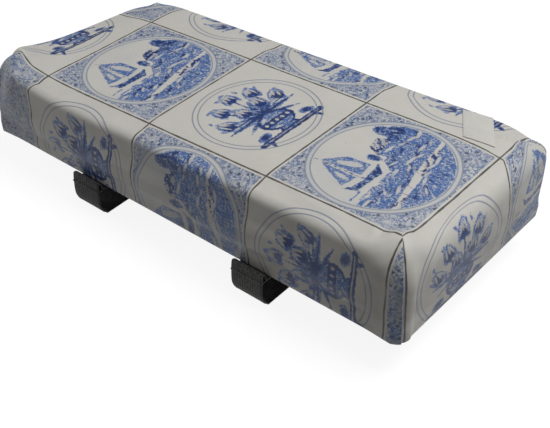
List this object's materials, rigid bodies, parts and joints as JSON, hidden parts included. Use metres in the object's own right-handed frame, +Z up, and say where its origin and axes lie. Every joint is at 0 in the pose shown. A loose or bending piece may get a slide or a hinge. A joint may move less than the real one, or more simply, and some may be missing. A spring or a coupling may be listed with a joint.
{
  "type": "bicycle rear rack seat cushion",
  "caption": "Rectangular padded seat cushion with a blue and white tile print cover, held on a bicycle's rear rack by webbing straps under its base.",
  "frame": {"origin": "on the underside of the base lining, at its middle, in the face that sits on the rack", "axes": "+X along the cushion to the bicycle's rear, +Y to its left side, +Z up"},
  "size_m": [0.3687, 0.1672, 0.0875],
  "materials": {
    "printed_cloth": "coated cloth, satin, with a blue tile print",
    "foam": "open-cell foam",
    "plywood": "raw plywood",
    "lining": "matt non-woven cloth",
    "label": "bare woven label",
    "webbing": "woven webbing",
    "loop_tape": "napped tape",
    "hook_tape": "hook tape",
    "zinc_steel": "zinc plated"
  },
  "bodies": {
    "root": {"cover": "printed_cloth", "foam_pad": "foam", "base_board": "plywood", "base_lining": "lining", "label": "label", "front_strap": "webbing", "rear_strap": "webbing", "front_loop_patch": "loop_tape", "front_hook_patch": "hook_tape", "rear_loop_patch": "loop_tape", "rear_hook_patch": "hook_tape", "screw_front_left": "zinc_steel", "screw_front_right": "zinc_steel", "screw_rear_left": "zinc_steel", "screw_rear_right": "zinc_steel", "washer_front_left": "zinc_steel", "washer_front_right": "zinc_steel", "washer_rear_left": "zinc_steel", "washer_rear_right": "zinc_steel", "staple_left_1": "zinc_steel", "staple_left_2": "zinc_steel", "staple_left_3": "zinc_steel", "staple_left_4": "zinc_steel", "staple_left_5": "zinc_steel", "staple_left_6": "zinc_steel", "staple_left_7": "zinc_steel", "staple_left_8": "zinc_steel", "staple_left_9": "zinc_steel", "staple_right_1": "zinc_steel", "staple_right_2": "zinc_steel", "staple_right_3": "zinc_steel", "staple_right_4": "zinc_steel", "staple_right_5": "zinc_steel", "staple_right_6": "zinc_steel", "staple_right_7": "zinc_steel", "staple_right_8": "zinc_steel", "staple_right_9": "zinc_steel", "staple_front_1": "zinc_steel", "staple_front_2": "zinc_steel", "staple_front_3": "zinc_steel", "staple_rear_1": "zinc_steel", "staple_rear_2": "zinc_steel", "staple_rear_3": "zinc_steel"}
  },
  "joints": []
}
